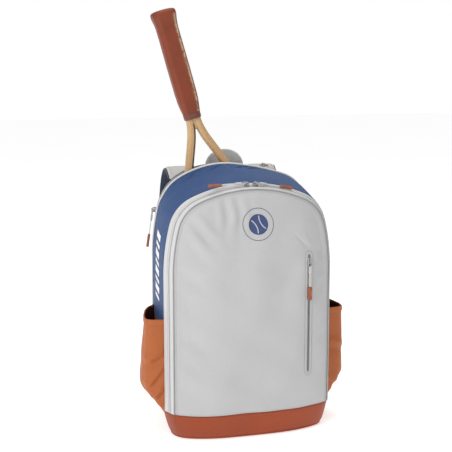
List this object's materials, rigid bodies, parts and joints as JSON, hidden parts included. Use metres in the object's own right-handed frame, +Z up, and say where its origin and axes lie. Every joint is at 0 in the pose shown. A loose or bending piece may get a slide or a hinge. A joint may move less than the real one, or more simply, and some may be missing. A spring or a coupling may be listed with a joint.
{
  "type": "racket backpack",
  "caption": "Padded dome-topped backpack with front pocket, side pockets, shoulder straps, grab handle and a removable racket standing in the open rear compartment.",
  "frame": {"origin": "middle of the flat foot, on the surface the bag stands on", "axes": "+Z up, -Y towards the front pocket, +X to the bag's left as worn, the right side seen from the front"},
  "size_m": [0.3756, 0.269, 0.7577],
  "materials": {
    "pale_cloth": "coated woven cloth, pale grey, slight sheen",
    "blue_cloth": "fine woven cloth, mid blue",
    "clay_cloth": "satin woven cloth, clay orange",
    "navy_mesh": "navy air mesh",
    "grey_web": "pale grey webbing",
    "navy_web": "navy webbing",
    "piping": "off white piping",
    "zip_tape": "grey zip tape with nylon coil",
    "nickel": "nickel plated zinc",
    "cord": "white cord",
    "clay_tag": "clay orange synthetic leather",
    "black_plastic": "moulded acetal",
    "board": "extruded sheet",
    "lining": "plain lining",
    "frame_paint": "tan lacquered carbon frame",
    "grip_wrap": "perforated clay brown grip",
    "grip_rubber": "rubber",
    "string": "monofilament string",
    "bumper": "moulded guard"
  },
  "bodies": {
    "bag": {"back_pad_left": "navy_mesh", "back_pad_right": "navy_mesh", "back_panel": "navy_mesh", "back_stiffener": "board", "base_board": "board", "base_boot": "clay_cloth", "base_panel": "clay_cloth", "front_panel": "pale_cloth", "front_panel_piping": "piping", "front_pocket_gusset": "pale_cloth", "front_zip": "zip_tape", "lumbar_pad": "navy_mesh", "main_gusset_front": "blue_cloth", "main_gusset_rear": "navy_web", "main_piping": "piping", "main_zip": "zip_tape", "pocket_divider": "blue_cloth", "pocket_hems": "clay_cloth", "racket_sleeve": "lining", "side_panel_left": "clay_cloth", "side_panel_right": "clay_cloth", "side_pocket_left": "clay_cloth", "side_pocket_right": "clay_cloth", "strap_anchors": "navy_web", "strap_yoke": "navy_web", "upright_pocket_lining": "lining", "upright_zip": "zip_tape"},
    "slider_pocket_left": {"slider_pocket_left": "nickel"},
    "pull_pocket_left": {"pull_cord_pocket_left": "cord", "pull_tag_pocket_left": "clay_tag"},
    "slider_pocket_right": {"slider_pocket_right": "nickel"},
    "pull_pocket_right": {"pull_cord_pocket_right": "cord", "pull_tag_pocket_right": "clay_tag"},
    "slider_main_left": {"slider_main_left": "nickel"},
    "pull_main_left": {"pull_cord_main_left": "cord", "pull_tag_main_left": "clay_tag"},
    "slider_main_right": {"slider_main_right": "nickel"},
    "pull_main_right": {"pull_cord_main_right": "cord", "pull_tag_main_right": "clay_tag"},
    "slider_upright": {"slider_upright": "nickel"},
    "pull_upright": {"pull_cord_upright": "cord", "pull_tag_upright": "clay_tag"},
    "strap_left": {"shoulder_strap_left": "navy_mesh", "strap_lock_left": "black_plastic", "strap_web_left": "navy_web"},
    "strap_right": {"shoulder_strap_right": "navy_mesh", "strap_lock_right": "black_plastic", "strap_web_right": "navy_web"},
    "handle": {"grab_handle": "grey_web"},
    "racket": {"racket_frame": "frame_paint", "racket_grip": "grip_wrap", "racket_butt_cap": "grip_wrap", "racket_collar": "grip_rubber", "racket_strings": "string", "racket_bumper": "bumper"}
  },
  "joints": [
    {"name": "zip_pocket_left", "type": "hinge", "parent": "bag", "child": "slider_pocket_left", "pos_m": [0, -0.064, 0.20242], "axis": [0, -1, 0], "range_deg": [0, 20]},
    {"name": "pull_swing_pocket_left", "type": "hinge", "parent": "slider_pocket_left", "child": "pull_pocket_left", "pos_m": [-0.00788, -0.06583, 0.45312], "axis": [-0.0103, 0.945, 0.3269], "range_deg": [0, 70]},
    {"name": "zip_pocket_right", "type": "hinge", "parent": "bag", "child": "slider_pocket_right", "pos_m": [0, -0.064, 0.20242], "axis": [0, 1, 0], "range_deg": [0, 20]},
    {"name": "pull_swing_pocket_right", "type": "hinge", "parent": "slider_pocket_right", "child": "pull_pocket_right", "pos_m": [0.00788, -0.06583, 0.45312], "axis": [-0.0103, -0.945, -0.3269], "range_deg": [0, 70]},
    {"name": "zip_main_left", "type": "hinge", "parent": "bag", "child": "slider_main_left", "pos_m": [0.2128, 0.055, 0.31558], "axis": [0, -1, 0], "range_deg": [0, 7]},
    {"name": "pull_swing_main_left", "type": "hinge", "parent": "slider_main_left", "child": "pull_main_left", "pos_m": [-0.15072, 0.055, 0.3955], "axis": [0, 1, 0], "range_deg": [0, 70]},
    {"name": "zip_main_right", "type": "hinge", "parent": "bag", "child": "slider_main_right", "pos_m": [0, 0.055, 0.22076], "axis": [0, 1, 0], "range_deg": [-9, 2]},
    {"name": "pull_swing_main_right", "type": "hinge", "parent": "slider_main_right", "child": "pull_main_right", "pos_m": [0.06038, 0.055, 0.47225], "axis": [0, -1, 0], "range_deg": [0, 70]},
    {"name": "zip_upright", "type": "slide", "parent": "bag", "child": "slider_upright", "axis": [0, 0, -1], "range_m": [0, 0.185]},
    {"name": "pull_swing_upright", "type": "hinge", "parent": "slider_upright", "child": "pull_upright", "pos_m": [0.098, -0.10154, 0.315], "axis": [-1, 0, 0], "range_deg": [0, 80]},
    {"name": "strap_swing_left", "type": "hinge", "parent": "bag", "child": "strap_left", "pos_m": [-0.076, 0.107, 0.436], "axis": [1, 0, 0], "range_deg": [0, 12]},
    {"name": "strap_swing_right", "type": "hinge", "parent": "bag", "child": "strap_right", "pos_m": [0.076, 0.107, 0.436], "axis": [1, 0, 0], "range_deg": [0, 12]},
    {"name": "handle_fold", "type": "hinge", "parent": "bag", "child": "handle", "pos_m": [0, 0.105, 0.447], "axis": [1, 0, 0], "range_deg": [-60, 0]},
    {"name": "racket_lift", "type": "slide", "parent": "bag", "child": "racket", "axis": [-0.2773, 0, 0.9608], "range_m": [0, 0.07]}
  ]
}
